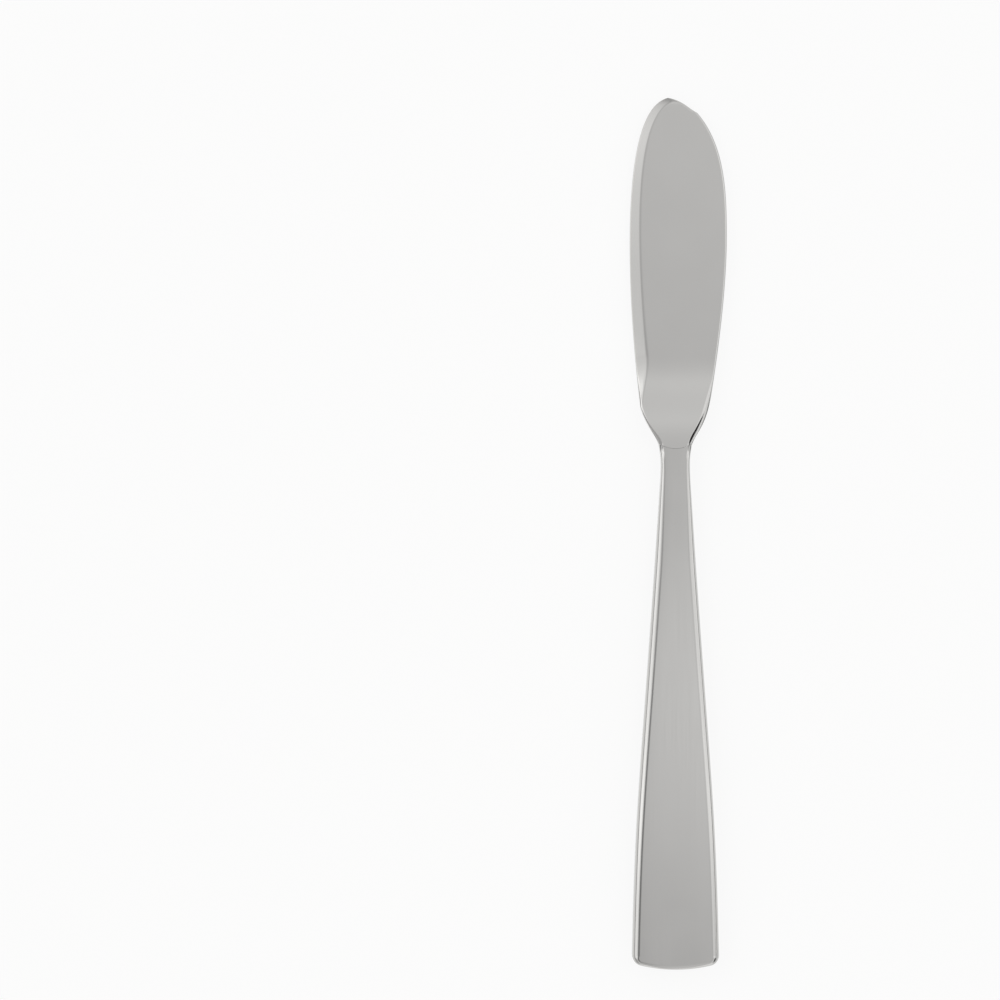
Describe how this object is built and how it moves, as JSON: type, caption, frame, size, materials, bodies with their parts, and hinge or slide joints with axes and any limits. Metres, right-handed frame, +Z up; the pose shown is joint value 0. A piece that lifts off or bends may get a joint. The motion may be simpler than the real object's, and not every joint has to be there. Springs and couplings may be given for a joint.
{
  "type": "fish knife",
  "caption": "Table fish knife with a broad blunt blade, clipped point and flat flared hollow handle, all in polished stainless steel.",
  "frame": {"origin": "on the surface that the knife lies on, under the centre of its bounding box", "axes": "+Y along the knife from butt to point, +X towards the spine, +Z up, out of the front face"},
  "size_m": [0.0228, 0.205, 0.0066],
  "materials": {
    "blade_steel": "polished stainless steel with faint polishing lines",
    "handle_steel": "polished stainless steel",
    "solder": "polished silver brazing alloy",
    "cement": "hard filled-resin cement, never seen"
  },
  "bodies": {
    "root": {"blade": "blade_steel", "handle_front_shell": "handle_steel", "handle_back_shell": "handle_steel", "seam_solder": "solder", "handle_filling": "cement"}
  },
  "joints": []
}
